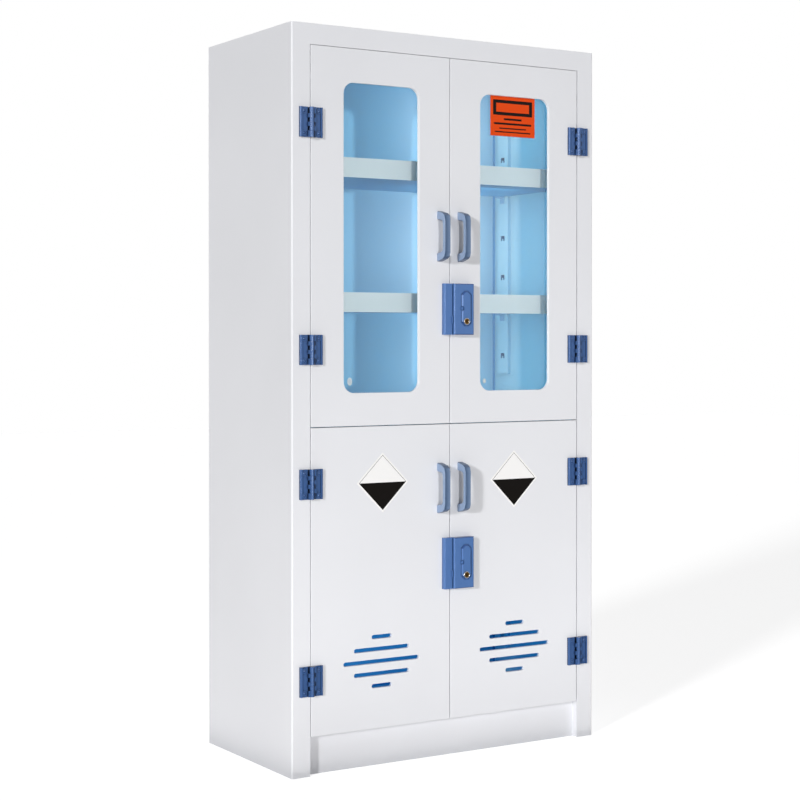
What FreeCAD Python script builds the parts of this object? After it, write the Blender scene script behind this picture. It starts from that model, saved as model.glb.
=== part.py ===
import FreeCAD, Part
import os
from math import sqrt
from FreeCAD import Vector

# Free-standing reagent cabinet of white polypropylene sheet, with two windowed doors above two vented
# doors, lift-out spill tray shelves, and blue moulded hinges, handles and locks.
# Millimetres, +Z up, X to the right and the front towards -Y. The origin is on the floor at the centre
# of the whole box, which runs from the grips of the handles to the back panel.

# Driving sizes of the carcass
width = 900
depth = 450
height = 1800
sheet = 8
stile_width = 50
top_rail_height = 50
plinth_height = 92
plinth_setback = 20
rear_plinth_from_back = 60

# Driving sizes of the doors
door_gap = 2
door_thickness = 25
door_seam_height = 835
door_bottom = 95
edge_strip_width = 20
door_edge_round = 1.2
stop_clearance = 1
stop_height = 12

# Windows of the upper doors
window_width = 215
window_height = 751
window_bottom = 916
window_corner = 28
pane_thickness = 5
pane_overlap = 20
bead_step = 10
bead_reach = 30
bead_thickness = 11

# Vent slots of the lower doors
vent_lengths = (57.5, 157.5, 216.5, 157.5, 57.5)
vent_pitch = 30
vent_height = 10
vent_middle_height = 259

# Hinges
hinge_leaf_height = 72
hinge_leaf_reach = 31
hinge_axis_proud = 7
knuckle_radius = 6.25
end_knuckle = 15.4
knuckle_gap = 4.3
knuckle_play = 0.3
pin_radius = 2.5
pin_running_clearance = 0.06
leaf_thickness = 5
web_thickness = 1.5
sole_thickness = 0.5
leaf_rim_thickness = 7
leaf_rim_width = 6
boss_radius = 6.5
boss_rise = 1.2
hinge_screw_from_edge = 11
upper_hinge_heights = (1563.5, 1021)
lower_hinge_heights = (700, 229)

# Handles
handle_reach = 38
handle_width = 16.5
handle_length = 126
handle_offset = 30.5
upper_handle_height = 1303
lower_handle_height = 675

# Locks
lock_height = 128
case_width = 60
case_reach = 18
case_wall = 4
keeper_width = 23
keeper_reach = 12
keeper_lip_height = 18
keeper_lip_rise = 3
upper_lock_height = 1121.5
lower_lock_height = 486
plug_offset = 36
plug_drop = 30.5
barrel_radius = 7.5
barrel_face_radius = 8.5
plug_radius = 4.5
plug_running_clearance = 0.05
boot_width = 28
boot_height = 86
boot_tip = 9
boot_rise = 3.2
boot_slope = 2.8
notch_radius = 6.5
pivot_radius = 3.4
boot_groove_width = 2
boot_groove_depth = 1.6
tongue_length = 50
tongue_width = 10
tongue_thickness = 4
tongue_proud = 8

# Shelving
rail_width = 50
rail_thickness = 10
slot_pitch = 110
slot_width = 18
slot_height = 14
slot_tooth_width = 5
slot_tooth_height = 6
upper_first_slot = 1000
upper_slot_count = 7
lower_first_slot = 210
lower_slot_count = 6
rail_end_margin = 50
rear_rail_from_back = 65
front_rail_from_front = 85
tray_slots = {"upper_tray": 1440, "middle_tray": 1110, "lower_tray": 430}
tray_above_slot = 7
tray_height = 44.5
tray_sheet = 6
tray_lip_drop = 4
tray_setback = 45
tray_from_back = 60
tray_side_gap = 3

# Screws, a shank with a domed head on it
shank_radius = 2.1
head_radius = 4
head_height = 1.6

# Planes worked out from the driving sizes
back_y = (depth + handle_reach) / 2
front_y = back_y - depth
half_width = width / 2
inner_x = half_width - sheet
opening_x = half_width - stile_width
opening_top = height - top_rail_height
behind_sheet_y = front_y + sheet
door_back_y = front_y + door_thickness
stop_y = door_back_y + stop_clearance
inner_back_y = back_y - sheet
door_edge_x = opening_x - door_gap
door_free_x = door_gap / 2
upper_door_z = (door_seam_height + door_gap / 2, opening_top - door_gap / 2)
lower_door_z = (door_bottom, door_seam_height - door_gap / 2)
hinge_x = opening_x - door_gap / 2
hinge_y = front_y - hinge_axis_proud
door_centre_x = (door_edge_x + door_free_x) / 2
UP = Vector(0, 0, 1)
BACKWARDS = Vector(0, 1, 0)


def block(x0, x1, y0, y1, z0, z1):
    return Part.makeBox(x1 - x0, y1 - y0, z1 - z0, Vector(x0, y0, z0))


def rod(x, z, radius, y0, y1):
    return Part.makeCylinder(radius, y1 - y0, Vector(x, y0, z), BACKWARDS)


def post(x, y, radius, z0, z1):
    return Part.makeCylinder(radius, z1 - z0, Vector(x, y, z0), UP)


def rounded_slab(x, z, wide, high, corner, y0, y1):
    """A slab with its four corners rounded, lying in the plane of the doors."""
    slab = block(x - wide / 2, x + wide / 2, y0, y1, z - high / 2, z + high / 2)
    corners = [e for e in slab.Edges if abs(e.Vertexes[0].X - e.Vertexes[1].X) < 0.01
               and abs(e.Vertexes[0].Z - e.Vertexes[1].Z) < 0.01]
    return slab.makeFillet(corner, corners)


def front_edges(shape, y):
    """The edges of a shape that lie in one plane facing the front."""
    return [e for e in shape.Edges if all(abs(v.Y - y) < 0.01 for v in e.Vertexes)]


def upright_edges(shape, x, y):
    """The upright edges of a shape that stand on one point of the plan."""
    return [e for e in shape.Edges if all(abs(v.X - x) + abs(v.Y - y) < 0.01 for v in e.Vertexes)]


def one_solid(pieces):
    return pieces[0].fuse(pieces[1:]).removeSplitter()


def without(shape, cutters):
    return shape.cut(cutters) if cutters else shape


def mirrored(shape):
    return shape.mirror(Vector(0, 0, 0), Vector(1, 0, 0))


def save(node, shapes):
    shape = shapes[0] if len(shapes) == 1 else Part.makeCompound(shapes)
    if not shape.isValid():
        print("not valid:", node)
    shape.exportStep("parts/" + node + ".step")
    print(node, len(shape.Solids), "solids,", round(shape.Volume / 1000, 1), "cm3")


# Screws. Each has its shank through one sheet, and a domed head on the outside of what it holds.
def screw(x, z, y_head, y_tip):
    head_side = -1 if y_tip > y_head else 1
    low = min(y_head, y_tip)
    shank = rod(x, z, shank_radius, low, low + abs(y_tip - y_head))
    dome_centre = y_head + head_side * (head_height - head_radius * 1.25)
    dome = Part.makeSphere(head_radius * 1.25, Vector(x, dome_centre, z))
    if head_side < 0:
        cap = rod(x, z, head_radius, y_head - head_height, y_head)
    else:
        cap = rod(x, z, head_radius, y_head, y_head + head_height)
    return one_solid([shank, cap.common(dome)])


def screw_holes(places, y0, y1):
    return [rod(x, z, shank_radius, y0, y1) for x, z in places]


# Carcass. Every sheet is 8 mm thick, cut square and welded along its edges.
def carcass():
    side = block(-half_width, -inner_x, behind_sheet_y, back_y, 0, height)
    save("left_side_panel", [side])
    save("right_side_panel", [mirrored(side)])

    save("top_panel", [block(-inner_x, inner_x, behind_sheet_y, inner_back_y, height - sheet, height)])
    save("back_panel", [block(-inner_x, inner_x, inner_back_y, back_y, 0, height)])
    save("bottom_panel", [block(-inner_x, inner_x, stop_y, inner_back_y,
                                plinth_height, plinth_height + sheet)])

    deck_z = door_seam_height - sheet / 2
    deck = block(-inner_x, inner_x, stop_y, inner_back_y, deck_z, deck_z + sheet)
    lip = block(-inner_x, inner_x, stop_y, stop_y + sheet,
                deck_z - stop_height, deck_z + sheet + stop_height)
    save("middle_deck", [one_solid([deck, lip])])

    plinth_y = front_y + plinth_setback
    save("front_plinth", [block(-opening_x, opening_x, plinth_y, plinth_y + sheet, 0, plinth_height)])
    rear_y = back_y - rear_plinth_from_back - sheet
    save("rear_plinth", [block(-inner_x, inner_x, rear_y, rear_y + sheet, 0, plinth_height)])

    face = block(-opening_x, opening_x, front_y, behind_sheet_y, opening_top, height)
    under = block(-opening_x, opening_x, behind_sheet_y, stop_y + sheet,
                  opening_top, opening_top + sheet)
    stop = block(-opening_x, opening_x, stop_y, stop_y + sheet, opening_top - stop_height, opening_top)
    save("top_front_rail", [one_solid([face, under, stop])])


# Front stiles. Each is a strip that carries the hinges, rounded on its outer corner, with a return.
def stiles():
    face = block(-half_width, -opening_x, front_y, behind_sheet_y, 0, height)
    face = face.makeFillet(4, upright_edges(face, -half_width, front_y))
    inner_return = block(-opening_x - sheet, -opening_x, behind_sheet_y, stop_y, 0, height - sheet)
    stile = one_solid([face, inner_return])
    for side, sign in (("left", 1), ("right", -1)):
        body = stile if sign > 0 else mirrored(stile)
        places = [place for z in upper_hinge_heights + lower_hinge_heights
                  for place in hinge_screw_places(-sign * hinge_x, -sign, z)]
        save(side + "_front_stile", [without(body, screw_holes(places, front_y, behind_sheet_y))])


# Hinges. Six knuckles turn on one pin. On both sides of the cabinet the leaf to the right holds the
# first, third and fifth knuckle from the top, and the leaf to the left holds the others.
def hinge_screw_places(x, side, z):
    """The two screws of one leaf; side is -1 for the leaf to the left of the pin, +1 to the right."""
    screw_x = x + side * (hinge_leaf_reach - hinge_screw_from_edge)
    rise = hinge_leaf_height / 2 - boss_radius - 3
    return [(screw_x, z + rise), (screw_x, z - rise)]


def knuckle_spans():
    middle = (hinge_leaf_height - 2 * end_knuckle) / 4
    tops = [hinge_leaf_height / 2, hinge_leaf_height / 2 - end_knuckle]
    for _ in range(4):
        tops.append(tops[-1] - middle)
    tops.append(-hinge_leaf_height / 2)
    return [(tops[i + 1], tops[i]) for i in range(6)]


def hinge_leaf(x, z, side, bore_radius):
    """One leaf on the face of a sheet; side is -1 to the left of the pin, +1 to the right."""
    own = [span for i, span in enumerate(knuckle_spans()) if (i % 2 == 0) == (side > 0)]
    half = hinge_leaf_height / 2
    near = knuckle_radius + knuckle_gap

    def strip(from_pin, to_pin, thickness, low, high):
        a, b = sorted((x + side * from_pin, x + side * to_pin))
        return block(a, b, front_y - thickness, front_y, z + low, z + high)

    plate = strip(near, hinge_leaf_reach, leaf_thickness, -half, half)
    rim = strip(hinge_leaf_reach - leaf_rim_width, hinge_leaf_reach, leaf_rim_thickness, -half, half)
    rim = rim.makeFillet(2.5, upright_edges(rim, x + side * hinge_leaf_reach,
                                            front_y - leaf_rim_thickness))
    web = strip(knuckle_radius + 0.3, near, web_thickness, -half, half)
    sole = strip(door_gap / 2 + 0.5, near, sole_thickness, -half, half)
    pieces = [plate, rim, web]
    for low, high in own:
        low, high = low + knuckle_play / 2, high - knuckle_play / 2
        pieces.append(post(x, hinge_y, knuckle_radius, z + low, z + high))
        arm = strip(0, near, hinge_axis_proud + knuckle_radius - 2, low, high)
        pieces.append(arm.common(strip(0, near, hinge_axis_proud + 3, low, high)))
    for screw_x, screw_z in hinge_screw_places(x, side, z):
        pieces.append(rod(screw_x, screw_z, boss_radius,
                          front_y - leaf_thickness - boss_rise, front_y))
    leaf = one_solid(pieces)
    barrel_room = block(x - knuckle_radius, x + knuckle_radius, front_y - 0.75, front_y,
                        z - half, z + half)
    bore = post(x, hinge_y, bore_radius, z - half - 1, z + half + 1)
    holes = screw_holes(hinge_screw_places(x, side, z), front_y - leaf_rim_thickness, front_y)
    return one_solid([leaf.cut([barrel_room, bore] + holes), sole])


def leaf_screws(x, side, z):
    head_y = front_y - leaf_thickness - boss_rise
    return [screw(sx, sz, head_y, behind_sheet_y) for sx, sz in hinge_screw_places(x, side, z)]


def hinges():
    pins = []
    frame_screws = []
    for level, heights in (("upper", upper_hinge_heights), ("lower", lower_hinge_heights)):
        for side, sign in (("left", -1), ("right", 1)):
            x = sign * hinge_x
            door = level + "_" + side
            frame_leaves = [hinge_leaf(x, z, sign, pin_radius) for z in heights]
            door_leaves = [hinge_leaf(x, z, -sign, pin_radius + pin_running_clearance)
                           for z in heights]
            save(door + "_hinge_frame_leaves", frame_leaves)
            save(door + "_hinge_door_leaves", door_leaves)
            for z in heights:
                half = hinge_leaf_height / 2
                pins.append(post(x, hinge_y, pin_radius, z - half, z + half))
                frame_screws += leaf_screws(x, sign, z)
    save("hinge_pins", pins)
    save("hinge_frame_screws", frame_screws)


# Doors. A front sheet is stiffened by four strips welded behind its edges.
def door_sheet(x, z0, z1, openings, holes):
    half = (door_edge_x - door_free_x) / 2
    front = block(x - half, x + half, front_y, behind_sheet_y, z0, z1).cut(openings)
    front = front.makeFillet(door_edge_round, front_edges(front, front_y))
    return front.cut(holes)


def edge_strips(x, z0, z1):
    half = (door_edge_x - door_free_x) / 2
    y0, y1, w = behind_sheet_y, door_back_y, edge_strip_width
    return [block(x - half, x - half + w, y0, y1, z0, z1),
            block(x + half - w, x + half, y0, y1, z0, z1),
            block(x - half + w, x + half - w, y0, y1, z0, z0 + w),
            block(x - half + w, x + half - w, y0, y1, z1 - w, z1)]


def vent_slots(x):
    slots = []
    for i, length in enumerate(vent_lengths):
        z = vent_middle_height + (2 - i) * vent_pitch
        slots.append(rounded_slab(x, z, length, vent_height, vent_height / 2 - 0.01,
                                  front_y - 1, behind_sheet_y + 1))
    return slots


def window(x):
    z = window_bottom + window_height / 2
    opening = rounded_slab(x, z, window_width, window_height, window_corner,
                           front_y - 1, behind_sheet_y + 1)
    pane_y = behind_sheet_y + pane_thickness
    pane = rounded_slab(x, z, window_width + 2 * pane_overlap, window_height + 2 * pane_overlap,
                        window_corner, behind_sheet_y, pane_y)
    ring = rounded_slab(x, z, window_width + 2 * bead_reach, window_height + 2 * bead_reach,
                        window_corner, behind_sheet_y, behind_sheet_y + bead_thickness)
    hole = rounded_slab(x, z, window_width + 2 * bead_step, window_height + 2 * bead_step,
                        window_corner + bead_step, behind_sheet_y - 1, back_y)
    return opening, pane, ring.cut([pane, hole])


def handle_screw_places(x, z):
    return [(x, z + side * (handle_length / 2 - 8)) for side in (-1, 1)]


def keeper_screw_places(z):
    x = -door_free_x - keeper_width / 2
    return [(x - 2, z + side * (lock_height / 2 - 12)) for side in (-1, 1)]


def case_screw_places(z):
    x = door_free_x + case_width / 2
    return [(x + side * (case_width / 2 - 7), z + side * (lock_height / 2 - 7)) for side in (-1, 1)]


def doors():
    levels = (("upper", upper_door_z, upper_hinge_heights, upper_handle_height, upper_lock_height),
              ("lower", lower_door_z, lower_hinge_heights, lower_handle_height, lower_lock_height))
    for level, (z0, z1), hinge_heights, handle_z, lock_z in levels:
        for side, sign in (("left", -1), ("right", 1)):
            door = level + "_" + side
            x = sign * door_centre_x
            hinge_places = [place for z in hinge_heights
                            for place in hinge_screw_places(sign * hinge_x, -sign, z)]
            lock_places = keeper_screw_places(lock_z) if sign < 0 else case_screw_places(lock_z)
            inside_places = handle_screw_places(sign * handle_offset, handle_z) + lock_places
            screw_places = hinge_places + inside_places
            holes = screw_holes(screw_places, front_y, behind_sheet_y)
            if level == "upper":
                opening, pane, bead = window(x)
                openings = [opening]
                save(door + "_window_pane", [pane])
                save(door + "_window_bead", [bead])
            else:
                openings = vent_slots(x)
            save(door + "_door_sheet", [door_sheet(x, z0, z1, openings, holes)])
            strip_holes = screw_holes(inside_places, behind_sheet_y, door_back_y)
            save(door + "_door_edge_strips", [strip.cut(strip_holes) for strip in edge_strips(x, z0, z1)])
            screws = [s for z in hinge_heights for s in leaf_screws(sign * hinge_x, -sign, z)]
            for sx, sz in inside_places:
                behind_strip = abs(sx) < door_free_x + edge_strip_width
                screws.append(screw(sx, sz, door_back_y if behind_strip else behind_sheet_y, front_y - 6))
            save(door + "_door_screws", screws)
            save(door + "_handle", [handle(sign * handle_offset, handle_z)])


# Handles. Each is one bow seen from the side: two square feet and a grip that swells a little at its
# middle. Its edges are cut back along the front and round the feet.
def handle(x, z):
    half = handle_length / 2
    w = handle_width / 2
    outer = [(0, half), (24, half - 6), (33, half - 12), (handle_reach - 1, half - 24), (handle_reach, 0)]
    inner = [(handle_reach - 11, 0), (handle_reach - 12, half - 31), (handle_reach - 14, half - 26),
             (handle_reach - 18, half - 23), (4, half - 21), (0, half - 19)]
    outline = [Vector(x - w, front_y - out, z + up) for out, up in outer]
    outline += [Vector(x - w, front_y - out, z - up) for out, up in outer[-2::-1]]
    outline += [Vector(x - w, front_y - out, z - up) for out, up in inner[::-1]]
    outline += [Vector(x - w, front_y - out, z + up) for out, up in inner[1:]]
    bow = Part.Face(Part.makePolygon(outline + outline[:1])).extrude(Vector(handle_width, 0, 0))
    facet = 2
    plan = [(-w, 0), (-w, facet - handle_reach), (facet - w, -handle_reach),
            (w - facet, -handle_reach), (w, facet - handle_reach), (w, 0)]
    plan = [Vector(x + px, front_y + py, z - half) for px, py in plan]
    grip_shape = Part.Face(Part.makePolygon(plan + plan[:1])).extrude(Vector(0, 0, handle_length))
    front = [(-w, facet - half), (-w, half - facet), (facet - w, half), (w - facet, half),
             (w, half - facet), (w, facet - half), (w - facet, -half), (facet - w, -half)]
    front = [Vector(x + px, front_y, z + pz) for px, pz in front]
    foot_shape = Part.Face(Part.makePolygon(front + front[:1])).extrude(Vector(0, -handle_reach, 0))
    bow = bow.common(grip_shape).common(foot_shape)
    holes = [rod(sx, sz, shank_radius, front_y - 6, front_y) for sx, sz in handle_screw_places(x, z)]
    return bow.cut(holes)


# Locks. The case on the right door holds a brass barrel, and its plug turns the tongue from upright to
# level, through the slot in the case's side and into the keeper on the left door.
def boot_face(x, z, y, spread):
    """The outline of the case's cover, a tall hexagon, spread by so much all round."""
    w, h = boot_width / 2 + spread, boot_height / 2 + spread
    points = [(-w, h - boot_tip), (-w / 3, h), (w / 3, h), (w, h - boot_tip),
              (w, boot_tip - h), (w / 3, -h), (-w / 3, -h), (-w, boot_tip - h)]
    corners = [Vector(x + px, y, z + pz) for px, pz in points]
    return Part.Face(Part.makePolygon(corners + corners[:1]))


def boot_outline(x, z, y):
    """The raised cover on the case, and the pivot in the notch of its left side."""
    panel = boot_face(x, z, y, 0).extrude(Vector(0, -boot_rise, 0))
    panel = panel.makeChamfer(boot_slope, front_edges(panel, y - boot_rise))
    left = x - boot_width / 2
    notch = rod(left, z, notch_radius, y - boot_rise - 1, y + 1)
    pivot = rod(left, z, pivot_radius, y - boot_rise + 0.6, y)
    return panel.cut(notch).fuse(pivot)


def boot_groove(x, z, y):
    """The shadow groove round the cover."""
    into_case = Vector(0, boot_groove_depth, 0)
    whole = boot_face(x, z, y, boot_groove_width).extrude(into_case)
    return whole.cut(boot_face(x, z, y, 0).extrude(into_case))


def lock_case(z):
    x0, x1 = door_free_x, door_free_x + case_width
    half = lock_height / 2
    plug_z = z - plug_drop
    outside = block(x0, x1, front_y - case_reach, front_y, z - half, z + half)
    outside = outside.makeFillet(3, front_edges(outside, front_y - case_reach))
    inside = block(x0 + case_wall, x1 - case_wall, front_y - case_reach + case_wall, front_y,
                   z - half + case_wall, z + half - case_wall)
    slot_top = plug_z + sqrt((tongue_length + 1) ** 2 - (plug_offset - x0 - case_wall) ** 2) + 1
    tongue_y = front_y - tongue_proud
    slot = block(x0 - 1, x0 + case_wall + 1, tongue_y - 1, tongue_y + tongue_thickness + 1,
                 plug_z - tongue_width / 2 - 1, slot_top)
    posts = [rod(px, pz, 5, front_y - case_reach + case_wall, front_y)
             for px, pz in case_screw_places(z)]
    boot = boot_outline(plug_offset + 1, z + 2, front_y - case_reach)
    pad = rod(plug_offset, plug_z, barrel_face_radius + 1.5, front_y - case_reach - boot_rise,
              front_y - case_reach)
    groove = boot_groove(plug_offset + 1, z + 2, front_y - case_reach)
    case = one_solid([outside.cut([inside, slot, groove])] + posts + [boot, pad])
    bores = [rod(plug_offset, plug_z, barrel_radius, front_y - case_reach - boot_rise - 1,
                 front_y - case_reach + case_wall + 1)]
    bores += [rod(px, pz, shank_radius, front_y - 6, front_y) for px, pz in case_screw_places(z)]
    return case.cut(bores)


def keeper(z):
    x0, x1 = -door_free_x - keeper_width, -door_free_x
    half = lock_height / 2
    plug_z = z - plug_drop
    body = block(x0, x1, front_y - keeper_reach, front_y, z - half, z + half)
    body = body.makeFillet(3, upright_edges(body, x0, front_y - keeper_reach))
    lip_y = front_y - keeper_reach - keeper_lip_rise
    lip = block(x1 - 2.5, x1, lip_y, front_y - keeper_reach + 1, plug_z - 5, plug_z - 5 + keeper_lip_height)
    body = one_solid([body, lip])
    tongue_y = front_y - tongue_proud
    pocket = block(x1 - 19, x1 + 1, tongue_y - 1, tongue_y + tongue_thickness + 1,
                   plug_z - tongue_width / 2 - 1, plug_z + 36)
    holes = [rod(px, pz, shank_radius, front_y - 6, front_y) for px, pz in keeper_screw_places(z)]
    return body.cut([pocket] + holes)


def lock_barrel(z):
    plug_z = z - plug_drop
    face_y = front_y - case_reach - boot_rise
    rear_y = front_y - tongue_proud - 1
    body = rod(plug_offset, plug_z, barrel_radius, face_y, rear_y)
    flange = rod(plug_offset, plug_z, barrel_face_radius, face_y - 1.5, face_y)
    flange = flange.makeChamfer(0.7, front_edges(flange, face_y - 1.5))
    bore = rod(plug_offset, plug_z, plug_radius + plug_running_clearance, face_y - 2, rear_y + 1)
    return one_solid([body, flange]).cut(bore)


def lock_plug(z):
    plug_z = z - plug_drop
    face_y = front_y - case_reach - boot_rise - 1.5
    body = rod(plug_offset, plug_z, plug_radius, face_y, front_y - tongue_proud + tongue_thickness + 1)
    keyway = block(plug_offset - 1.1, plug_offset + 1.1, face_y - 1, face_y + 5,
                   plug_z - 3.2, plug_z + 3.2)
    return body.cut(keyway)


def lock_tongue(z):
    plug_z = z - plug_drop
    y0 = front_y - tongue_proud
    y1 = y0 + tongue_thickness
    boss = rod(plug_offset, plug_z, 8, y0, y1)
    bar = block(plug_offset - tongue_width / 2, plug_offset + tongue_width / 2, y0, y1,
                plug_z, plug_z + tongue_length)
    return one_solid([boss, bar]).cut(rod(plug_offset, plug_z, plug_radius, y0 - 1, y1 + 1))


def locks():
    for level, z in (("upper", upper_lock_height), ("lower", lower_lock_height)):
        save(level + "_lock_case", [lock_case(z)])
        save(level + "_lock_keeper", [keeper(z)])
        save(level + "_lock_barrel", [lock_barrel(z)])
        save(level + "_lock_plug", [lock_plug(z)])
        save(level + "_lock_tongue", [lock_tongue(z)])


# Shelving. Slotted rails stand on the side panels, clips hang in their slots, and a tray with a rim all
# round lies on four clips.
rail_face_x = inner_x - rail_thickness
rail_places_y = (front_y + front_rail_from_front, back_y - rear_rail_from_back)


def shelf_rails(first_slot, count):
    rails = []
    z0 = first_slot - rail_end_margin
    z1 = first_slot + (count - 1) * slot_pitch + rail_end_margin
    for y in rail_places_y:
        rail = block(-inner_x, -rail_face_x, y - rail_width / 2, y + rail_width / 2, z0, z1)
        slots = []
        for i in range(count):
            z = first_slot + i * slot_pitch
            slot = block(-inner_x, -rail_face_x, y - slot_width / 2, y + slot_width / 2,
                         z - slot_height / 2, z + slot_height / 2)
            tooth = block(-inner_x, -rail_face_x, y - slot_tooth_width / 2, y + slot_tooth_width / 2,
                          z - slot_height / 2, z - slot_height / 2 + slot_tooth_height)
            slots.append(slot.cut(tooth))
        rail = rail.cut(slots)
        rails += [rail, mirrored(rail)]
    return rails


def shelf_clips(slot_z):
    clips = []
    top = slot_z + tray_above_slot
    for y in rail_places_y:
        hook = block(-inner_x + 1, -rail_face_x, y - slot_width / 2 + 0.5, y + slot_width / 2 - 0.5,
                     slot_z - slot_height / 2 + slot_tooth_height + 0.3, slot_z + slot_height / 2 - 1)
        plate = block(-rail_face_x, -rail_face_x + 3, y - 9, y + 9, slot_z - 12, top)
        ledge = block(-rail_face_x, -rail_face_x + 20, y - 9, y + 9, top - 4, top)
        clip = one_solid([hook, plate, ledge])
        clips += [clip, mirrored(clip)]
    return clips


def tray(slot_z):
    x = rail_face_x - tray_side_gap
    y0 = front_y + tray_setback
    y1 = back_y - tray_from_back
    z0 = slot_z + tray_above_slot
    z1 = z0 + tray_height
    shell = block(-x, x, y0, y1, z0, z1)
    hollow = block(-x + tray_sheet, x - tray_sheet, y0 + tray_sheet, y1 - tray_sheet,
                   z0 + tray_sheet, z1 + 1)
    lip = block(-x, x, y0, y0 + tray_sheet, z0 - tray_lip_drop, z1)
    return one_solid([shell.cut(hollow), lip])


def shelving():
    save("upper_shelf_rails", shelf_rails(upper_first_slot, upper_slot_count))
    save("lower_shelf_rails", shelf_rails(lower_first_slot, lower_slot_count))
    for name, slot_z in tray_slots.items():
        save(name, [tray(slot_z)])
        save(name + "_clips", shelf_clips(slot_z))


carcass()
stiles()
hinges()
doors()
locks()
shelving()
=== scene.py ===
import math

import bpy
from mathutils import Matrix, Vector


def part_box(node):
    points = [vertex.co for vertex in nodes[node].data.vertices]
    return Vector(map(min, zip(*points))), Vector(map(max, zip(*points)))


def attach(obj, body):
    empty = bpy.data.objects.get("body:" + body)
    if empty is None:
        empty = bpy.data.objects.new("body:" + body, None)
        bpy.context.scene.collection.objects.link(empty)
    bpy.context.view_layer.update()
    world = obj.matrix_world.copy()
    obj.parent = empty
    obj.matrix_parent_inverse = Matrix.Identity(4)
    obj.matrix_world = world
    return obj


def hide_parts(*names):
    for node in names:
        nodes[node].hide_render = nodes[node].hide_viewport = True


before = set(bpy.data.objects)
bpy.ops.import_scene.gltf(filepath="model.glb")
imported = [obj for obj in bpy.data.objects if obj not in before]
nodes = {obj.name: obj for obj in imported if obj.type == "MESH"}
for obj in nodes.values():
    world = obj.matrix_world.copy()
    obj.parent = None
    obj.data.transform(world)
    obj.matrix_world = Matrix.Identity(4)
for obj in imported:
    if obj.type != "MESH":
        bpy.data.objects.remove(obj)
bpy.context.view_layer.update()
bpy.ops.object.select_all(action="DESELECT")


# Where the photographer stood: eye height, four and a half metres off, to the left of the cabinet. The lens
# is long, and its shift keeps the uprights of the cabinet upright in the picture.
PHOTO_PIXELS = 800
LENS_PIXELS = 1768.6
FILM_WIDTH = 36
EYE = Vector((-2.445, -3.903, 1.047))
EYE_TURN = math.radians(31.82)
EYE_TILT = -0.0085
camera_data = bpy.data.cameras.new("photo_camera")
camera_data.sensor_width = FILM_WIDTH
camera_data.lens = FILM_WIDTH * LENS_PIXELS / PHOTO_PIXELS
camera_data.shift_x = 0.0015
camera_data.shift_y = -0.0575
camera = bpy.data.objects.new("photo_camera", camera_data)
camera.location = EYE
camera.rotation_euler = (math.pi / 2 + EYE_TILT, 0, -EYE_TURN)
bpy.context.scene.collection.objects.link(camera)
bpy.context.scene.camera = camera
bpy.context.scene.view_settings.view_transform = "Standard"


# Three studio lamps: a broad one well to the left, a smaller one a little left of straight on, and one
# behind. Their light falls evenly over the whole cabinet, so they are suns, each as soft as its lamp.
def add_lamp(name, from_left, from_above, strength, softness):
    """Adds a sun that stands so many degrees round to the left and up, with its softness in degrees too."""
    lamp_data = bpy.data.lights.new(name, "SUN")
    lamp_data.energy = strength
    lamp_data.angle = math.radians(softness)
    lamp = bpy.data.objects.new(name, lamp_data)
    lamp.rotation_euler = (math.pi / 2 - math.radians(from_above), 0, -math.radians(from_left))
    bpy.context.scene.collection.objects.link(lamp)


add_lamp("broad_lamp", from_left=60, from_above=13, strength=1.85, softness=6)
add_lamp("front_lamp", from_left=9.5, from_above=0, strength=1.12, softness=2.5)
add_lamp("back_lamp", from_left=215, from_above=18, strength=1.0, softness=20)


# Flat lamps: on the floor in front and to the left, as bright paper gives, one over the top, and some inside
# that bring in the daylight of the room through the windows and the vents. None of them is seen itself.
def add_flat_lamp(name, place, turn, size, light, colour):
    """Adds a flat lamp of this width and height. Its light is what each part of its face gives."""
    lamp_data = bpy.data.lights.new(name, "AREA")
    lamp_data.shape = "RECTANGLE"
    lamp_data.size, lamp_data.size_y = size
    lamp_data.energy = light * math.pi * size[0] * size[1]
    lamp_data.color = colour
    lamp = bpy.data.objects.new(name, lamp_data)
    lamp.location = place
    lamp.rotation_euler = turn
    lamp.visible_camera = False
    lamp.visible_glossy = False
    bpy.context.scene.collection.objects.link(lamp)


FACING_UP = (math.pi, 0, 0)
FACING_DOWN = (0, 0, 0)
FACING_BACK = (math.pi / 2, 0, 0)
FACING_BACK_AND_DOWN = (math.pi / 2 - 0.25, 0, 0)
FACING_LEFT = (math.pi / 2, 0, math.pi / 2)
WHITE = (1, 1, 1)
PAPER_WHITE = (1, 0.97, 0.94)
PALE_DAYLIGHT = (0.85, 1, 1)
WINDOW_DAYLIGHT = (0.3, 0.75, 1)
CORNER_AMBER = (1, 0.54, 0.4)
add_flat_lamp("front_floor_bounce", (0.4, -1.3, 0.01), FACING_UP, (3.0, 2.16), 0.42, PAPER_WHITE)
add_flat_lamp("left_floor_bounce", (-1.6, 0.1, 0.01), FACING_UP, (2.2, 2.6), 0.5, PAPER_WHITE)
add_flat_lamp("low_front_fill", (0.35, -2.2, 0.25), FACING_BACK, (1.6, 0.5), 0.28, WHITE)
add_flat_lamp("light_over_the_top", (0, 0, 2.2), FACING_DOWN, (0.9, 0.42), 1.1, WHITE)
add_flat_lamp("left_side_light", (-0.2, 0.02, 1.29), FACING_LEFT, (0.34, 0.9), 0.4, PALE_DAYLIGHT)
add_flat_lamp("front_shelf_light", (0, -0.158, 1.25), FACING_BACK_AND_DOWN, (0.8, 0.15), 0.25, WHITE)
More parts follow.
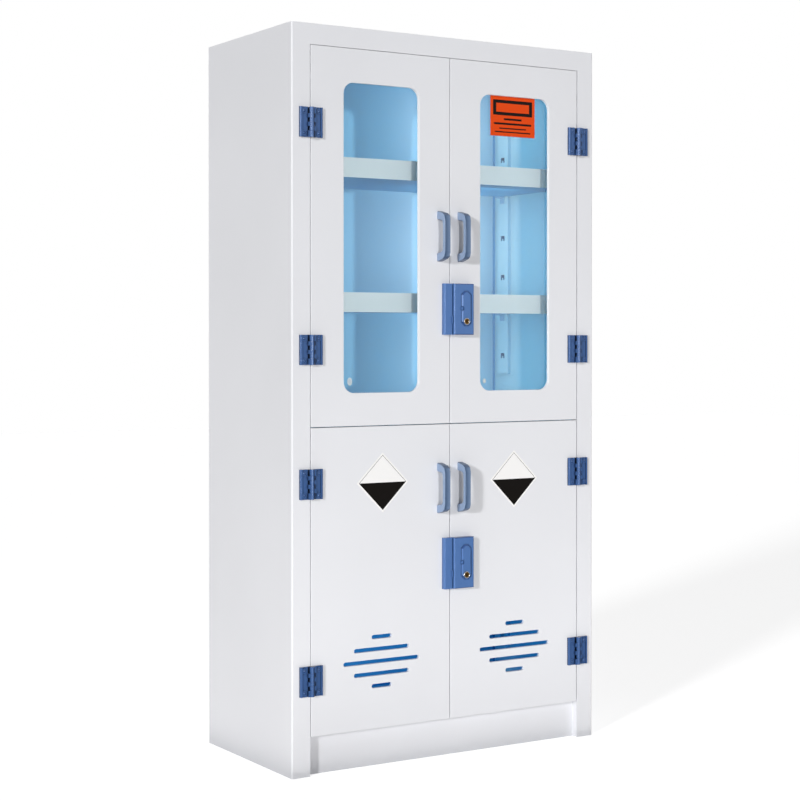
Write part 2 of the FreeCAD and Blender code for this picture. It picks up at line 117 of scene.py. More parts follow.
# Each space between the trays: the height of its middle, how tall its lamps are, the light and the colour of
# its daylight, and the light of the warm lamp by the right rear corner.
for name, height, tall, light, colour, warm_light in (
        ("top", 1.63, 0.22, 2.1, (0.5, 1.0, 1.15), 2.7),
        ("middle", 1.31, 0.28, 1.75, (0.97, 1.03, 1.07), 2.2),
        ("low", 0.98, 0.24, 1.75, (0.62, 1.0, 1.1), 1.65)):
    add_flat_lamp(name + "_shelf_light", (0.2, -0.05, height), FACING_BACK, (0.3, tall), light, colour)
    add_flat_lamp(name + "_corner_light", (0.3, 0.1, height), FACING_BACK, (0.2, tall), warm_light,
                  CORNER_AMBER)
for side, window_x, vent_x, vent_light, vent_colour in (
        ("left", -0.1995, -0.2, 1.25, (0.2, 0.6, 1)),
        ("right", 0.1995, 0.2, 0.6, (0, 0.45, 1))):
    add_flat_lamp(side + "_window_glow", (window_x, -0.186, 1.291), FACING_BACK, (0.2, 0.73), 0.14,
                  WINDOW_DAYLIGHT)
    add_flat_lamp(side + "_vent_daylight", (vent_x, -0.12, 0.3), FACING_BACK, (0.38, 0.4), vent_light,
                  vent_colour)


# The studio room: a white paper sweep on the floor, and white walls that the picture shows as plain white.
# What the walls give the cabinet as soft light is less than what they show.
def linear(hex_colour):
    """The linear colour of an sRGB hex value."""
    channels = [int(hex_colour[i:i + 2], 16) / 255 for i in (1, 3, 5)]
    return tuple(c / 12.92 if c <= 0.04045 else ((c + 0.055) / 1.055) ** 2.4 for c in channels) + (1.0,)


def add_node(tree, kind, inputs=None, **settings):
    """Adds a node with its settings, and sets or links what is given for its inputs."""
    node = tree.nodes.new(kind)
    for name, value in settings.items():
        setattr(node, name, value)
    for name, value in (inputs or {}).items():
        if isinstance(value, bpy.types.NodeSocket):
            tree.links.new(value, node.inputs[name])
        else:
            node.inputs[name].default_value = value
    return node


def new_material(name):
    material = bpy.data.materials.new(name)
    material.use_nodes = True
    tree = material.node_tree
    tree.nodes.clear()
    return material, tree


def finish_material(tree, shader):
    add_node(tree, "ShaderNodeOutputMaterial", {"Surface": shader})


ROOM_LIGHT = 0.12
PAPER_LIFT = 0.725
world = bpy.data.worlds.new("studio")
bpy.context.scene.world = world
world.use_nodes = True
room = world.node_tree
room.nodes.clear()
rays = add_node(room, "ShaderNodeLightPath").outputs
seen = rays["Is Camera Ray"]
for ray in ("Is Glossy Ray", "Is Transmission Ray"):
    seen = add_node(room, "ShaderNodeMath", {0: seen, 1: rays[ray]}, operation="MAXIMUM").outputs[0]
soft_light = add_node(room, "ShaderNodeBackground", {"Color": linear("#fdfdff"), "Strength": ROOM_LIGHT})
white_wall = add_node(room, "ShaderNodeBackground", {"Color": (1, 1, 1, 1), "Strength": 1.0})
walls = add_node(room, "ShaderNodeMixShader", {0: seen, 1: soft_light.outputs[0], 2: white_wall.outputs[0]})
add_node(room, "ShaderNodeOutputWorld", {"Surface": walls.outputs[0]})

bpy.ops.mesh.primitive_plane_add(size=30, location=(0, 0, 0))
floor = bpy.context.object
floor.name = "studio_floor"
paper, tree = new_material("matt_white_paper")
rays = add_node(tree, "ShaderNodeLightPath").outputs
matt = add_node(tree, "ShaderNodeBsdfDiffuse", {"Color": linear("#e6e6e6")})
lift = add_node(tree, "ShaderNodeMath", {0: rays["Is Camera Ray"], 1: PAPER_LIFT}, operation="MULTIPLY")
glow = add_node(tree, "ShaderNodeEmission", {"Color": (1, 1, 1, 1), "Strength": lift.outputs[0]})
both = add_node(tree, "ShaderNodeAddShader", {0: matt.outputs[0], 1: glow.outputs[0]})
finish_material(tree, both.outputs[0])
floor.data.materials.append(paper)


# White polypropylene sheet, extruded and pressed, 8 mm thick. It has a satin skin with faint long waves
# from the press. Inside the cabinet its faces are painted light blue for the blue light there. Painted
# shade makes them a darker blue where they face the front or down, and in the rails' slots.
def dress(names, material):
    for name in names:
        data = nodes[name].data
        data.materials.clear()
        data.materials.append(material)


def all_of(tree, shares):
    """One where every one of these shares is one."""
    product = shares[0]
    for share in shares[1:]:
        product = add_node(tree, "ShaderNodeMath", {0: product, 1: share}, operation="MULTIPLY").outputs[0]
    return product


def between(tree, value, low, high):
    """One where the value lies between two bounds, and nothing elsewhere."""
    above = add_node(tree, "ShaderNodeMath", {0: value, 1: low}, operation="GREATER_THAN").outputs[0]
    below = add_node(tree, "ShaderNodeMath", {0: value, 1: high}, operation="LESS_THAN").outputs[0]
    return all_of(tree, [above, below])


def layered(tree, colour, coats):
    """A colour with coats laid over it in turn, each as a share and a colour."""
    for share, coat in coats:
        colour = add_node(tree, "ShaderNodeMixRGB", {0: share, 1: colour, 2: coat}).outputs[0]
    return colour


WHITE_SHEET = "#e9eaee"
# The inside blue is painted light, and the three darker blues after it are painted shade.
INSIDE_LIGHT_BLUE = "#a1dcee"
FRONT_SHADE_BLUE = "#8cc8e4"
UNDERSIDE_SHADE_BLUE = "#4799c5"
SLOT_SHADE_BLUE = "#3c78a8"
PRESS_WAVE = 0.45
SHEET_GRAIN = 0.003
SHEET_GRAIN_DEPTH = 0.0005
# A face is turned to the front, or down, when that part of its normal is in this range.
TURNED_THAT_WAY = (-2, -0.7)
# The blue-lit space: a hair past the faces of the panels round it, and from behind the doors to the back.
INSIDE_LOW = (-0.4422, -0.1815, 0.0995)
INSIDE_HIGH = (0.4422, 0.2362, 1.7922)
# The zone of the slots in a rail: its middle from the rail's edge, half its width, its depth under the rail's
# face, and its distance from the rail's ends.
RAIL_MIDDLE = 0.025
SLOT_REACH = 0.022
RAIL_THICKNESS = 0.010
RAIL_SKIN = 0.0012
RAIL_END = 0.004
rails_low, rails_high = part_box("upper_shelf_rails")
rail_face_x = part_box("right_side_panel")[0].x - RAIL_THICKNESS


def slot_shade_share(tree, axes):
    """One in the slots of the rails, where their painted shade goes, and nothing elsewhere."""
    from_middle = add_node(tree, "ShaderNodeMath", {0: axes[0]}, operation="ABSOLUTE").outputs[0]
    is_deep = between(tree, from_middle, rail_face_x + RAIL_SKIN, 1)
    in_either = []
    for rail_y in (rails_low.y + RAIL_MIDDLE, rails_high.y - RAIL_MIDDLE):
        in_either.append(between(tree, axes[1], rail_y - SLOT_REACH, rail_y + SLOT_REACH))
    across = add_node(tree, "ShaderNodeMath", {0: in_either[0], 1: in_either[1]}, operation="ADD").outputs[0]
    along = between(tree, axes[2], rails_low.z + RAIL_END, rails_high.z - RAIL_END)
    return all_of(tree, [is_deep, across, along])


def sheet_material(name, skin, inside_blue=None, low=INSIDE_LOW, high=INSIDE_HIGH):
    material, tree = new_material(name)
    coordinates = add_node(tree, "ShaderNodeTexCoord").outputs
    place = coordinates["Object"]
    colour = linear(skin)
    # Inside the cabinet the colour is painted blue light, with painted shade laid over it.
    if inside_blue:
        axes = add_node(tree, "ShaderNodeSeparateXYZ", {0: place}).outputs
        turns = add_node(tree, "ShaderNodeSeparateXYZ", {0: coordinates["Normal"]}).outputs
        inside = all_of(tree, [between(tree, axes[i], low[i], high[i]) for i in range(3)])
        # Painted shade: a darker blue on faces turned to the front, on faces turned down and in the rails'
        # slots.
        blue = layered(tree, linear(inside_blue), [
            (between(tree, turns[1], *TURNED_THAT_WAY), linear(FRONT_SHADE_BLUE)),
            (between(tree, turns[2], *TURNED_THAT_WAY), linear(UNDERSIDE_SHADE_BLUE)),
            (slot_shade_share(tree, axes), linear(SLOT_SHADE_BLUE))])
        colour = layered(tree, colour, [(inside, blue)])
    wave = add_node(tree, "ShaderNodeTexNoise", {"Vector": place, "Scale": 1 / PRESS_WAVE, "Detail": 2.0})
    depth = add_node(tree, "ShaderNodeMapRange", {"Value": wave.outputs["Fac"], "From Min": 0.3,
                                                  "From Max": 0.7, "To Min": 0.96, "To Max": 1.0})
    tone = add_node(tree, "ShaderNodeHueSaturation", {"Value": depth.outputs[0], "Color": colour})
    grain = add_node(tree, "ShaderNodeTexNoise", {"Vector": place, "Scale": 1 / SHEET_GRAIN, "Detail": 3.0})
    bump = add_node(tree, "ShaderNodeBump", {"Height": grain.outputs["Fac"], "Strength": 0.04,
                                             "Distance": SHEET_GRAIN_DEPTH})
    shader = add_node(tree, "ShaderNodeBsdfPrincipled",
                      {"Base Color": tone.outputs[0], "Normal": bump.outputs[0], "Roughness": 0.42,
                       "IOR": 1.49, "Specular IOR Level": 0.4})
    finish_material(tree, shader.outputs[0])
    return material


white_sheet = sheet_material("extruded_polypropylene_sheet", WHITE_SHEET)
blue_lit_sheet = sheet_material("blue_lit_polypropylene_sheet", INSIDE_LIGHT_BLUE)
inside_lit_sheet = sheet_material("inside_lit_polypropylene_sheet", WHITE_SHEET, INSIDE_LIGHT_BLUE)
dress(["front_plinth", "rear_plinth", "top_front_rail"], white_sheet)
dress(["left_side_panel", "right_side_panel", "left_front_stile", "right_front_stile", "top_panel",
       "back_panel", "bottom_panel", "middle_deck", "upper_shelf_rails", "lower_shelf_rails"], inside_lit_sheet)


# The trays are folded from the same sheet, with a white front lip, and behind it they are painted the blue of
# the light inside. They sit on moulded clips painted a deeper blue of the same light, which hook into the
# rails' slots.
clip_sheet = sheet_material("moulded_clip_polypropylene", "#7fbadb")
dress(["upper_tray_clips", "middle_tray_clips", "lower_tray_clips"], clip_sheet)
behind_lip = (-0.45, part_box("upper_tray")[0].y + 0.0005, 0.1)
tray_sheet = sheet_material("spill_tray_polypropylene", "#f6f8f4", INSIDE_LIGHT_BLUE, behind_lip)
dress(["upper_tray", "middle_tray", "lower_tray"], tray_sheet)


# Weld beads: a rod of polypropylene melted into every inside corner of the carcass, where two
# sheets meet. A bead is a flattened quarter round 4 to 6 mm wide, painted some shades darker than the inside
# blue as the shade that falls in the corners.
def pick(piece, kind, wanted):
    """Leaves the piece in edit mode with only the wanted vertices, edges or polygons selected."""
    if bpy.context.mode != "OBJECT":
        bpy.ops.object.mode_set(mode="OBJECT")
    bpy.ops.object.select_all(action="DESELECT")
    bpy.context.view_layer.objects.active = piece
    piece.select_set(True)
    bpy.context.tool_settings.mesh_select_mode = (kind == "vertices", kind == "edges", kind == "polygons")
    bpy.ops.object.mode_set(mode="EDIT")
    bpy.ops.mesh.select_all(action="DESELECT")
    bpy.ops.object.mode_set(mode="OBJECT")
    for element in getattr(piece.data, kind):
        element.select = wanted(element)
    bpy.ops.object.mode_set(mode="EDIT")


def settle(piece, name, body, materials):
    """Puts the piece's place in its mesh, names it and fixes it to its body. With no materials given it
    keeps its own."""
    if bpy.context.mode != "OBJECT":
        bpy.ops.object.mode_set(mode="OBJECT")
    bpy.ops.object.select_all(action="DESELECT")
    piece.select_set(True)
    bpy.context.view_layer.objects.active = piece
    bpy.ops.object.transform_apply(location=True, rotation=True, scale=True)
    piece.name = name
    piece.data.name = name
    if materials:
        piece.data.materials.clear()
        for material in materials:
            piece.data.materials.append(material)
    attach(piece, body)


SIDE_LEG = 0.006
BACK_LEG = 0.004
BEAD_FRONT = -0.178
BEAD_FLATNESS = 94
SAME_PLACE = 0.00001


def weld_bead(low, high, free_edge):
    """A box rounded off along its free edge, which is given by its place on two axes."""
    low, high = Vector(low), Vector(high)
    bpy.ops.mesh.primitive_cube_add(size=1, location=(low + high) / 2, scale=high - low)
    bead = bpy.context.object
    bpy.ops.object.transform_apply(location=True, rotation=True, scale=True)

    def is_free(edge):
        ends = [bead.data.vertices[i].co for i in edge.vertices]
        return all(abs(end[axis] - place) < SAME_PLACE for end in ends for axis, place in free_edge.items())

    pick(bead, "edges", is_free)
    bpy.ops.mesh.bevel(offset_type="PERCENT", offset_pct=BEAD_FLATNESS, segments=5, affect="EDGES")
    bpy.ops.object.mode_set(mode="OBJECT")
    return bead


inside_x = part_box("right_side_panel")[0].x
inside_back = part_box("back_panel")[0].y
deck_low, deck_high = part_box("middle_deck")[0].z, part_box("middle_deck")[1].z
spaces = {"upper": (deck_high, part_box("top_panel")[0].z), "lower": (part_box("bottom_panel")[1].z, deck_low)}
beads = []
for level, (z_low, z_high) in spaces.items():
    floor_and_ceiling = ((z_low, z_low + BACK_LEG), (z_high, z_high - BACK_LEG))
    y_free = inside_back - SIDE_LEG
    for sign in (-1, 1):
        x_free = sign * (inside_x - BACK_LEG)
        x_low, x_high = sorted((sign * inside_x, x_free))
        beads.append(weld_bead((x_low, y_free, z_low), (x_high, inside_back, z_high), {0: x_free, 1: y_free}))
        for z_wall, z_free in floor_and_ceiling:
            low, high = sorted((z_wall, z_free))
            beads.append(weld_bead((x_low, BEAD_FRONT, low), (x_high, y_free, high), {0: x_free, 2: z_free}))
    y_back_free = inside_back - BACK_LEG
    for z_wall, z_free in floor_and_ceiling:
        low, high = sorted((z_wall, z_free))
        beads.append(weld_bead((BACK_LEG - inside_x, y_back_free, low),
                               (inside_x - BACK_LEG, inside_back, high), {1: y_back_free, 2: z_free}))
bpy.ops.object.select_all(action="DESELECT")
for bead in beads:
    bead.select_set(True)
bpy.context.view_layer.objects.active = beads[0]
bpy.ops.object.join()
corner_beads = bpy.context.object
BEAD_RIPPLE = 0.017
BEAD_RIPPLE_DEPTH = 0.0006
# Painted shade: the beads are darker than the inside blue, as the corners lie in shade.
CORNER_SHADE_BLUE = "#3c8fc4"
PALER_CORNER_SHADE_BLUE = "#459ace"
corner_shade_rod, tree = new_material("corner_shade_weld_rod")
place = add_node(tree, "ShaderNodeTexCoord").outputs["Object"]
ripple = add_node(tree, "ShaderNodeTexNoise", {"Vector": place, "Scale": 1 / BEAD_RIPPLE, "Detail": 2.0})
tone = layered(tree, linear(CORNER_SHADE_BLUE), [(ripple.outputs["Fac"], linear(PALER_CORNER_SHADE_BLUE))])
bump = add_node(tree, "ShaderNodeBump", {"Height": ripple.outputs["Fac"], "Strength": 0.15,
                                         "Distance": BEAD_RIPPLE_DEPTH})
shader = add_node(tree, "ShaderNodeBsdfPrincipled", {"Base Color": tone, "Roughness": 0.35,
                                                     "Normal": bump.outputs[0]})
finish_material(tree, shader.outputs[0])
settle(corner_beads, "carcass_weld_beads", "carcass", [corner_shade_rod])


# The four doors: flat sheets of the same white polypropylene, with strips welded round their back. The
# upper two have a window, held from behind by a frame painted the blue of the inside light.
for level in ("upper", "lower"):
    for side in ("left", "right"):
        dress([f"{level}_{side}_door_sheet", f"{level}_{side}_door_edge_strips"], white_sheet)
dress(["upper_left_window_bead", "upper_right_window_bead"], blue_lit_sheet)


# Window panes of clear PVC, 5 mm thick, polished on both faces. They let nearly all light through, and
# mirror the room only at a slant.
pane_material, tree = new_material("clear_polished_pvc")
edge_shine = add_node(tree, "ShaderNodeFresnel", {"IOR": 1.45})
clear = add_node(tree, "ShaderNodeBsdfTransparent", {"Color": linear("#fcfeff")})
shine = add_node(tree, "ShaderNodeBsdfGlossy", {"Color": (1, 1, 1, 1), "Roughness": 0.08})
pane = add_node(tree, "ShaderNodeMixShader", {0: edge_shine.outputs[0], 1: clear.outputs[0],
                                              2: shine.outputs[0]})
finish_material(tree, pane.outputs[0])
dress(["upper_left_window_pane", "upper_right_window_pane"], pane_material)


# Stickers of printed vinyl film, 0.25 mm thick. On each lower door a blank diamond, white above and black
# below, with a thin line inside its edge. Film is smooth and a little glossy, and dark ink is duller.
FILM = 0.00025
FILM_RIPPLE = 0.011


def vinyl(name, colour, shine=0.5):
    material, tree = new_material(name)
    place = add_node(tree, "ShaderNodeTexCoord").outputs["Object"]
    film = add_node(tree, "ShaderNodeTexNoise", {"Vector": place, "Scale": 1 / FILM_RIPPLE, "Detail": 2.0})
    rough = add_node(tree, "ShaderNodeMapRange", {"Value": film.outputs["Fac"], "To Min": 0.28,
                                                  "To Max": 0.4})
    shader = add_node(tree, "ShaderNodeBsdfPrincipled", {"Base Color": linear(colour), "IOR": 1.5,
                                                         "Roughness": rough.outputs[0],
                                                         "Specular IOR Level": shine})
    finish_material(tree, shader.outputs[0])
    return material


def thicken(piece, thickness):
    """Gives a flat piece its thickness, from its front face back to what it is stuck to."""
    film = piece.modifiers.new("film", "SOLIDIFY")
    film.thickness = thickness
    film.offset = -1
    bpy.ops.object.modifier_apply(modifier=film.name)


white_vinyl = vinyl("white_printed_vinyl", "#f7f6f5")
black_vinyl = vinyl("black_printed_vinyl", "#0d0907", shine=0.12)
DIAMOND_HALF = 0.0735
DIAMOND_MARGIN = 0.0043
DIAMOND_LINE = 0.0009
DIAMOND_CORNER = 0.002
LINE_OUTSIDE = DIAMOND_HALF - math.sqrt(2) * DIAMOND_MARGIN
LINE_INSIDE = LINE_OUTSIDE - math.sqrt(2) * DIAMOND_LINE
LINE_SLACK = 0.0003
NEAR_TIP = 0.95 * DIAMOND_HALF
LEFT_DIAMOND = Vector((-0.1975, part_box("lower_left_door_sheet")[0].y - FILM, 0.6958))
RIGHT_DIAMOND = Vector((0.1965, LEFT_DIAMOND.y, 0.6885))


def from_diamond_middle(corner):
    return abs(corner.x - LEFT_DIAMOND.x) + abs(corner.z - LEFT_DIAMOND.z)


bpy.ops.object.select_all(action="DESELECT")
bpy.ops.mesh.primitive_circle_add(vertices=4, radius=DIAMOND_HALF, fill_type="NGON", location=LEFT_DIAMOND,
                                  rotation=(math.pi / 2, 0, 0))
sticker = bpy.context.object
bpy.ops.object.transform_apply(location=True, rotation=True, scale=True)
sticker.data.materials.append(white_vinyl)
sticker.data.materials.append(black_vinyl)
pick(sticker, "polygons", lambda face: True)
bpy.ops.mesh.inset(thickness=DIAMOND_MARGIN)
bpy.ops.mesh.inset(thickness=DIAMOND_LINE)
bpy.ops.mesh.bisect(plane_co=LEFT_DIAMOND, plane_no=(0, 0, 1))
pick(sticker, "vertices", lambda vertex: from_diamond_middle(vertex.co) > NEAR_TIP)
bpy.ops.mesh.bevel(offset=DIAMOND_CORNER, segments=3, affect="VERTICES")
bpy.ops.object.mode_set(mode="OBJECT")
for face in sticker.data.polygons:
    reach = max(from_diamond_middle(sticker.data.vertices[i].co) for i in face.vertices)
    is_line = LINE_INSIDE + LINE_SLACK < reach < LINE_OUTSIDE + LINE_SLACK
    is_lower_field = reach < LINE_INSIDE + LINE_SLACK and face.center.z < LEFT_DIAMOND.z
    face.material_index = 1 if is_line or is_lower_field else 0
thicken(sticker, FILM)
settle(sticker, "left_blank_diamond_sticker", "lower_left_door", [])
bpy.ops.object.duplicate()
right_sticker = bpy.context.object
bpy.ops.transform.translate(value=RIGHT_DIAMOND - LEFT_DIAMOND)
settle(right_sticker, "right_blank_diamond_sticker", "lower_right_door", [])


# A blank orange card of thin plastic, stuck to the right pane at its top. It is printed with a dark heading
# band round a blank field, and with four plain rules below.
CARD_LEFT, CARD_RIGHT = 0.1280, 0.2670
CARD_FOOT, CARD_HEAD = 1.5655, 1.6680
CARD_THICKNESS = 0.0005
card_wide, card_tall = CARD_RIGHT - CARD_LEFT, CARD_HEAD - CARD_FOOT
# Each field as shares of the card: its foot and head in the height, its left and right in the width. Each
# rule as shares too: its foot and its own height, and its width about the middle.
dark_fields = [(0.52, 0.90, 0.06, 0.94)]
blank_fields = [(0.60, 0.82, 0.13, 0.87)]
for foot, tall, wide in ((0.40, 0.05, 0.40), (0.285, 0.05, 0.84), (0.18, 0.03, 0.60), (0.09, 0.03, 0.80)):
    dark_fields.append((foot, foot + tall, 0.5 - wide / 2, 0.5 + wide / 2))
all_fields = dark_fields + blank_fields


def cut_across(piece, axis, places):
    """Cuts a flat piece through at these places along one axis."""
    for place in places:
        pick(piece, "polygons", lambda face: True)
        where, normal = [0, 0, 0], [0, 0, 0]
        where[axis], normal[axis] = place, 1
        bpy.ops.mesh.bisect(plane_co=where, plane_no=normal)
    bpy.ops.object.mode_set(mode="OBJECT")


def lies_in(face, fields):
    across = (face.center.x - CARD_LEFT) / card_wide
    up = (face.center.z - CARD_FOOT) / card_tall
    return any(foot < up < head and left < across < right for foot, head, left, right in fields)


pane_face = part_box("upper_right_window_pane")[0].y
card_middle = ((CARD_LEFT + CARD_RIGHT) / 2, pane_face - CARD_THICKNESS, (CARD_FOOT + CARD_HEAD) / 2)
bpy.ops.object.select_all(action="DESELECT")
bpy.ops.mesh.primitive_plane_add(size=1, location=card_middle, rotation=(math.pi / 2, 0, 0))
card = bpy.context.object
card.scale = (card_wide, card_tall, 1)
bpy.ops.object.transform_apply(location=True, rotation=True, scale=True)
card.data.materials.append(vinyl("orange_printed_plastic", "#e34a12", shine=0.15))
card.data.materials.append(black_vinyl)
cut_across(card, 2, [CARD_FOOT + card_tall * share for field in all_fields for share in field[:2]])
cut_across(card, 0, [CARD_LEFT + card_wide * share for field in all_fields for share in field[2:]])
for face in card.data.polygons:
    face.material_index = 1 if lies_in(face, dark_fields) and not lies_in(face, blank_fields) else 0
thicken(card, CARD_THICKNESS)
settle(card, "blank_orange_card", "upper_right_door", [])


# Two small round stickers of pale vinyl film, stuck low on the panes. Each is a plain disc, with a rim in
# another shade.
DOT_RIM = 0.0018
pale_vinyl = vinyl("pale_vinyl_film", "#cfd8d6")
faint_vinyl = vinyl("faint_vinyl_film", "#b9c6d2")
for name, body, x, z, wide, tall, films in (
        ("left_round_sticker", "upper_left_door", -0.2863, 0.9436, 0.0065, 0.0095, (pale_vinyl, faint_vinyl)),
        ("right_round_sticker", "upper_right_door", 0.1098, 0.9406, 0.005, 0.006, (faint_vinyl, pale_vinyl))):
    bpy.ops.object.select_all(action="DESELECT")
    bpy.ops.mesh.primitive_circle_add(vertices=32, radius=1, fill_type="NGON",
                                      location=(x, pane_face - FILM, z), rotation=(math.pi / 2, 0, 0))
    dot = bpy.context.object
    dot.scale = (wide, tall, 1)
    bpy.ops.object.transform_apply(location=True, rotation=True, scale=True)
    for film in films:
        dot.data.materials.append(film)
    pick(dot, "polygons", lambda face: True)
    bpy.ops.mesh.inset(thickness=DOT_RIM)
    bpy.ops.object.mode_set(mode="OBJECT")
    for face in dot.data.polygons:
        face.material_index = 1 if len(face.vertices) > 4 else 0
    thicken(dot, FILM)
    settle(dot, name, body, [])


# Hinges and locks, moulded of blue polypropylene, each from its own mould and batch. The foot of each
# piece, where it meets the sheet, is painted nearly black as shade. Its creases and its faces that turn
# up, down or to the right are painted darker as shade.
MELT_FLOW = 0.022
MOULD_SKIN = 0.0011
MOULD_SKIN_DEPTH = 0.0003
CREASE = 0.009
# Painted shade for the foot of each piece and for its creases.
SHADED_FOOT_BLACK = "#10151f"
CREASE_SHADE_NAVY = "#0c1a33"
door_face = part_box("lower_left_door_sheet")[0].y


def shaded_side_share(tree, turns, start, full):
    """Grows from nothing to one on faces that turn up, down or to the right, where painted shade goes."""
    up_or_down = add_node(tree, "ShaderNodeMath", {0: turns[2]}, operation="ABSOLUTE").outputs[0]
    away = add_node(tree, "ShaderNodeMath", {0: up_or_down, 1: turns[0]}, operation="MAXIMUM").outputs[0]
    share = add_node(tree, "ShaderNodeMapRange", {"Value": away, "From Min": start, "From Max": full})
    return share.outputs[0]


def finish_moulding(tree, place, tone, roughness, shine=0.5, tint="#ffffff"):
    """Closes the material of a moulded piece, with the fine grain of its skin."""
    skin = add_node(tree, "ShaderNodeTexNoise", {"Vector": place, "Scale": 1 / MOULD_SKIN, "Detail": 2.0})
    bump = add_node(tree, "ShaderNodeBump", {"Height": skin.outputs["Fac"], "Strength": 0.08,
                                             "Distance": MOULD_SKIN_DEPTH})
    shader = add_node(tree, "ShaderNodeBsdfPrincipled",
                      {"Base Color": tone, "Roughness": roughness, "IOR": 1.49, "Specular IOR Level": shine,
                       "Specular Tint": linear(tint), "Normal": bump.outputs[0]})
    finish_material(tree, shader.outputs[0])


def moulded(name, colour, darker, shaded_side_colour, foot_depth, crease_shade_share):
    material, tree = new_material(name)
    coordinates = add_node(tree, "ShaderNodeTexCoord").outputs
    place = coordinates["Object"]
    flow = add_node(tree, "ShaderNodeTexNoise", {"Vector": place, "Scale": 1 / MELT_FLOW, "Detail": 3.0})
    turns = add_node(tree, "ShaderNodeSeparateXYZ", {0: coordinates["Normal"]}).outputs
    depth = add_node(tree, "ShaderNodeSeparateXYZ", {0: place}).outputs[1]
    open_sky = add_node(tree, "ShaderNodeAmbientOcclusion", {"Distance": CREASE}).outputs["AO"]
    in_crease = add_node(tree, "ShaderNodeMapRange", {"Value": open_sky, "From Min": 0.95, "From Max": 0.4,
                                                      "To Max": crease_shade_share})
    # Painted shade: darker sides, a nearly black foot, and dark creases found by ambient occlusion.
    tone = layered(tree, linear(colour), [
        (flow.outputs["Fac"], linear(darker)),
        (shaded_side_share(tree, turns, 0.15, 0.5), linear(shaded_side_colour)),
        (between(tree, depth, door_face - foot_depth, 1), linear(SHADED_FOOT_BLACK)),
        (in_crease.outputs[0], linear(CREASE_SHADE_NAVY))])
    finish_moulding(tree, place, tone, roughness=0.3, shine=0.9, tint="#c6d7f6")
    return material


hinge_blue = moulded("moulded_hinge_polypropylene", "#365a90", "#305286", "#1d3763",
                     foot_depth=0.0012, crease_shade_share=1.0)
lock_blue = moulded("moulded_lock_polypropylene", "#4e74ae", "#496ea6", "#2a4c86",
                    foot_depth=0.0006, crease_shade_share=0.25)
for level in ("upper", "lower"):
    for side in ("left", "right"):
        dress([f"{level}_{side}_hinge_frame_leaves", f"{level}_{side}_hinge_door_leaves",
               f"{level}_{side}_door_screws"], hinge_blue)
    dress([f"{level}_lock_case", f"{level}_lock_keeper"], lock_blue)
dress(["hinge_frame_screws"], hinge_blue)


# The four bow handles, moulded of nylon in two shots: paler feet and sides, and a darker front. These are
# partly the two shots' colours and partly painted light on the sides and painted shade on the front. The front
# lightens towards its right edge as a painted reflection, and faces that turn up, down or to the right have
# painted shade. Every edge is rounded, as the mould leaves it.
HANDLE_ROUNDING = 0.0008
HALF_GRIP = 0.006
ONE_POINT = 0.00002
PALE_AND_LIT_SIDE = "#8ba0bf"
FRONT_LEFT_EDGE = "#3f5878"
FRONT_RIGHT_SHEEN = "#7289ab"
SHADED_END_COLOUR = "#4b607f"
handle_low, handle_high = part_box("upper_right_handle")
handle_x = (handle_low.x + handle_high.x) / 2
handle_blue, tree = new_material("moulded_handle_nylon")
coordinates = add_node(tree, "ShaderNodeTexCoord").outputs
place = coordinates["Object"]
across = add_node(tree, "ShaderNodeSeparateXYZ", {0: place}).outputs[0]
turns = add_node(tree, "ShaderNodeSeparateXYZ", {0: coordinates["Normal"]}).outputs
side = add_node(tree, "ShaderNodeMath", {0: across}, operation="SIGN").outputs[0]
from_grip = add_node(tree, "ShaderNodeMath", {0: side, 1: -handle_x, 2: across}, operation="MULTIPLY_ADD")
share = add_node(tree, "ShaderNodeMapRange", {"Value": from_grip.outputs[0], "From Min": -HALF_GRIP,
                                              "From Max": HALF_GRIP})
# Painted reflection: the front grows lighter from its left edge to its right.
front = layered(tree, linear(FRONT_LEFT_EDGE), [(share.outputs[0], linear(FRONT_RIGHT_SHEEN))])
is_front = add_node(tree, "ShaderNodeMapRange", {"Value": turns[1], "From Min": -0.4, "From Max": -0.6})
# Pale sides and darker front: partly the two shots, partly painted light and painted shade.
tone = layered(tree, linear(PALE_AND_LIT_SIDE), [(is_front.outputs[0], front)])
flow = add_node(tree, "ShaderNodeTexNoise", {"Vector": place, "Scale": 1 / MELT_FLOW, "Detail": 3.0})
depth = add_node(tree, "ShaderNodeMapRange", {"Value": flow.outputs["Fac"], "To Min": 0.93, "To Max": 1.03})
tone = add_node(tree, "ShaderNodeHueSaturation", {"Value": depth.outputs[0], "Color": tone}).outputs[0]
# Painted shade on faces that turn up, down or to the right.
tone = layered(tree, tone, [(shaded_side_share(tree, turns, 0.4, 0.8), linear(SHADED_END_COLOUR))])
finish_moulding(tree, place, tone, roughness=0.34)


def rounded_handle(level, side):
    node, name = f"{level}_{side}_handle", f"{level}_{side}_rounded_handle"
    bpy.ops.object.select_all(action="DESELECT")
    handle = bpy.data.objects.new(name, nodes[node].data.copy())
    bpy.context.scene.collection.objects.link(handle)
    pick(handle, "vertices", lambda vertex: True)
    bpy.ops.mesh.remove_doubles(threshold=ONE_POINT)
    bpy.ops.mesh.dissolve_limited(angle_limit=math.radians(1))
    bpy.ops.object.mode_set(mode="OBJECT")
    rounding = handle.modifiers.new("rounding", "BEVEL")
    rounding.width = HANDLE_ROUNDING
    rounding.segments = 3
    rounding.limit_method = "ANGLE"
    rounding.angle_limit = math.radians(15)
    bpy.ops.object.modifier_apply(modifier=rounding.name)
    bpy.ops.object.shade_smooth_by_angle(angle=math.radians(40))
    settle(handle, name, f"{level}_{side}_door", [handle_blue])
    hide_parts(node)


for level in ("upper", "lower"):
    for side in ("left", "right"):
        rounded_handle(level, side)


# Metal: brass lock barrels and plugs, turned, and plain steel pins and tongues. The turning marks are drawn
# some ten times as coarse as they are, so that they still break up the shine.
TURNING_MARKS = 0.0017


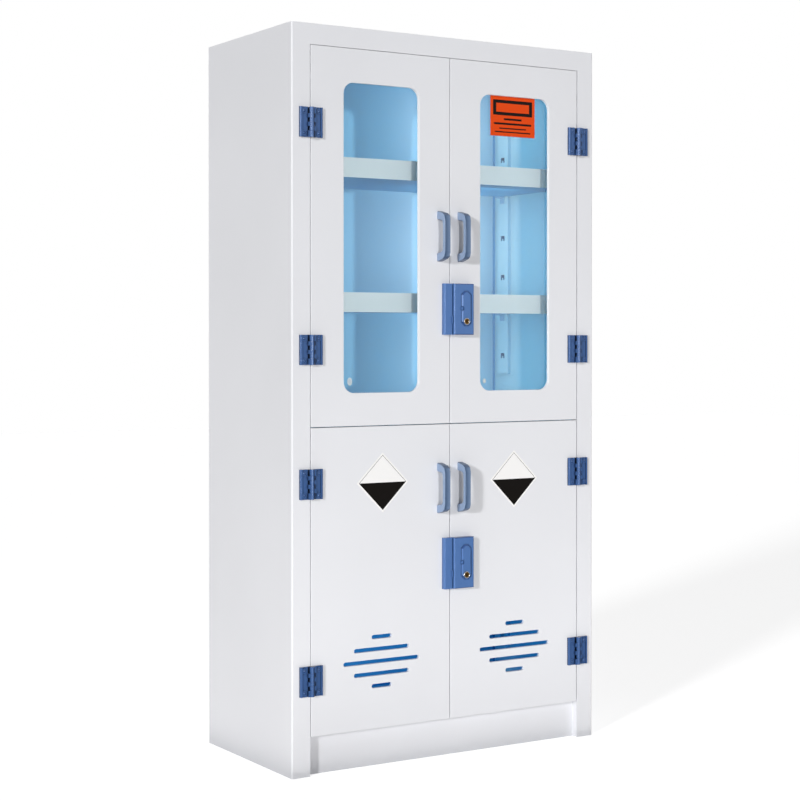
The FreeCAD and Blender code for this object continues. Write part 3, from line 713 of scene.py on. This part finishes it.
def metal(name, colour, roughness):
    material, tree = new_material(name)
    place = add_node(tree, "ShaderNodeTexCoord").outputs["Object"]
    marks = add_node(tree, "ShaderNodeTexNoise", {"Vector": place, "Scale": 1 / TURNING_MARKS, "Detail": 2.0})
    rough = add_node(tree, "ShaderNodeMapRange", {"Value": marks.outputs["Fac"], "To Min": roughness,
                                                  "To Max": roughness + 0.15})
    shader = add_node(tree, "ShaderNodeBsdfPrincipled",
                      {"Base Color": linear(colour), "Metallic": 1.0, "Roughness": rough.outputs[0]})
    finish_material(tree, shader.outputs[0])
    return material


pale_brass = metal("turned_brass", "#7e6337", roughness=0.3)
worn_brass = metal("worn_plug_brass", "#5a4020", roughness=0.35)
steel = metal("plain_steel", "#a9abb0", roughness=0.35)
for level in ("upper", "lower"):
    dress([f"{level}_lock_barrel"], pale_brass)
    dress([f"{level}_lock_plug"], worn_brass)
    dress([f"{level}_lock_tongue"], steel)
dress(["hinge_pins"], steel)


# A bright nickel-plated ring is pressed round the face of each brass barrel. It is turned half round: its
# front is domed, and its back is flat against the barrel.
RING_RADIUS = 0.0078
RING_THICKNESS = 0.0016
plated = metal("bright_nickel_plate", "#c9cbce", roughness=0.18)
barrel_faces = {}
for level in ("upper", "lower"):
    low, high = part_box(f"{level}_lock_barrel")
    barrel_faces[level] = Vector(((low.x + high.x) / 2, low.y, (low.z + high.z) / 2))
bpy.ops.object.select_all(action="DESELECT")
bpy.ops.mesh.primitive_torus_add(major_segments=48, minor_segments=10, major_radius=RING_RADIUS,
                                 minor_radius=RING_THICKNESS / 2, rotation=(math.pi / 2, 0, 0),
                                 location=barrel_faces["upper"])
ring = bpy.context.object
pick(ring, "vertices", lambda vertex: vertex.co.z < 0)
bpy.ops.transform.resize(value=(1, 0, 1), center_override=barrel_faces["upper"])
bpy.ops.object.mode_set(mode="OBJECT")
bpy.ops.object.shade_smooth()
settle(ring, "upper_lock_ring", "upper_right_door", [plated])
bpy.ops.object.duplicate()
lower_ring = bpy.context.object
bpy.ops.transform.translate(value=barrel_faces["lower"] - barrel_faces["upper"])
settle(lower_ring, "lower_lock_ring", "lower_right_door", [plated])
